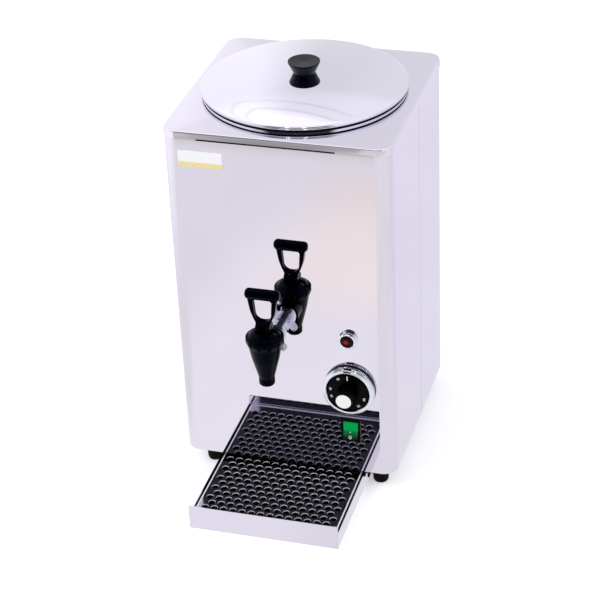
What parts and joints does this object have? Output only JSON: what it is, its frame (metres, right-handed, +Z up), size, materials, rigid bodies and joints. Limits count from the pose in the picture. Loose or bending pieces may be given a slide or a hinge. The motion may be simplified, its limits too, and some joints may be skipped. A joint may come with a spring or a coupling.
{
  "type": "milk dispenser",
  "caption": "Heated countertop milk dispenser: square steel casing with a lift-off lid, a lever tap, a dial, a lamp, a rocker switch and a sliding drip tray.",
  "frame": {"origin": "under the middle of the bounding box, on the surface that the feet and the tray stand on", "axes": "+Z up, +Y from the front panel towards the back, +X to the right as seen from the front"},
  "size_m": [0.286, 0.4244, 0.5291],
  "materials": {
    "polished_steel": "mirror polished",
    "brushed_steel": "brushed",
    "aluminium": "satin",
    "chrome": "polished",
    "black_plastic": "glossy",
    "black_matte": "matte",
    "green_plastic": "glossy, translucent",
    "red_lens": "clear red",
    "rubber": "matte",
    "silicone": "matte",
    "felt": "matted",
    "brass": "plain",
    "white_label": "satin",
    "ceramic": "matte"
  },
  "bodies": {
    "casing": {"front_shell": "polished_steel", "rear_shell": "polished_steel", "top_plate": "polished_steel", "milk_pot": "brushed_steel", "pot_floor": "brushed_steel", "pot_flange": "brushed_steel", "water_bath": "brushed_steel", "base_plate": "brushed_steel", "seam_strip_left": "brushed_steel", "seam_strip_right": "brushed_steel", "felt_jacket": "felt", "tap_body": "black_plastic", "bonnet": "black_plastic", "shank": "chrome", "wing_nut": "chrome", "panel_washer": "chrome", "panel_nut": "brass", "pot_nut": "chrome", "pot_seal": "silicone", "return_spring": "brushed_steel", "thermostat_control": "ceramic", "thermostat_bulb": "brass", "bulb_nut": "brass", "dial_bezel": "chrome", "lamp_bezel": "chrome", "lamp_lens": "red_lens", "lamp_body": "black_matte", "lamp_nut": "black_matte", "switch_housing": "black_matte", "label_plate": "white_label", "heating_element": "brushed_steel", "heater_nuts": "brass", "safety_thermostat": "ceramic", "terminal_block": "ceramic", "cable_gland": "black_matte", "gland_nut": "black_matte", "foot_front_left": "rubber", "foot_front_right": "rubber", "foot_rear_left": "rubber", "foot_rear_right": "rubber", "foot_screws": "brushed_steel", "tray_guide_left": "black_matte", "tray_guide_right": "black_matte", "front_rail": "rubber"},
    "lid": {"lid": "polished_steel", "lid_knob": "black_plastic", "lid_screw": "brushed_steel"},
    "valve_stem": {"valve_stem": "black_plastic", "seat_cup": "silicone", "lever_pin": "black_plastic"},
    "tap_lever": {"tap_lever": "black_plastic"},
    "dial": {"dial_knob": "black_plastic", "dial_cap": "aluminium", "thermostat_shaft": "brushed_steel"},
    "rocker": {"switch_rocker": "green_plastic"},
    "tray": {"tray_body": "polished_steel"},
    "grid": {"drip_grid": "polished_steel", "grid_frame": "polished_steel"}
  },
  "joints": [
    {"name": "lid_lift", "type": "slide", "parent": "casing", "child": "lid", "axis": [0, 0, 1], "range_m": [0, 0.15]},
    {"name": "stem_lift", "type": "slide", "parent": "casing", "child": "valve_stem", "axis": [0, 0, 1], "range_m": [0, 0.0022], "deforming": ["return_spring"]},
    {"name": "lever_pull", "type": "hinge", "parent": "valve_stem", "child": "tap_lever", "pos_m": [-0.003, -0.1452, 0.271], "axis": [1, 0, 0], "range_deg": [0, 35], "stiffness_Nm_per_rad": 0.4, "springref_deg": -11.46},
    {"name": "dial_turn", "type": "hinge", "parent": "casing", "child": "dial", "pos_m": [0.085, -0.0842, 0.154], "axis": [0, 1, 0], "range_deg": [0, 270]},
    {"name": "rocker_tip", "type": "hinge", "parent": "casing", "child": "rocker", "pos_m": [0.085, -0.083, 0.0902], "axis": [1, 0, 0], "range_deg": [0, 20]},
    {"name": "tray_slide", "type": "slide", "parent": "casing", "child": "tray", "axis": [0, 1, 0], "range_m": [-0.1, 0.1265]},
    {"name": "grid_lift", "type": "slide", "parent": "tray", "child": "grid", "axis": [0, 0, 1], "range_m": [0, 0.004]}
  ],
  "couplings": [
    {"joint": "lever_pull", "follows": "stem_lift", "rad_per_m": 277}
  ]
}
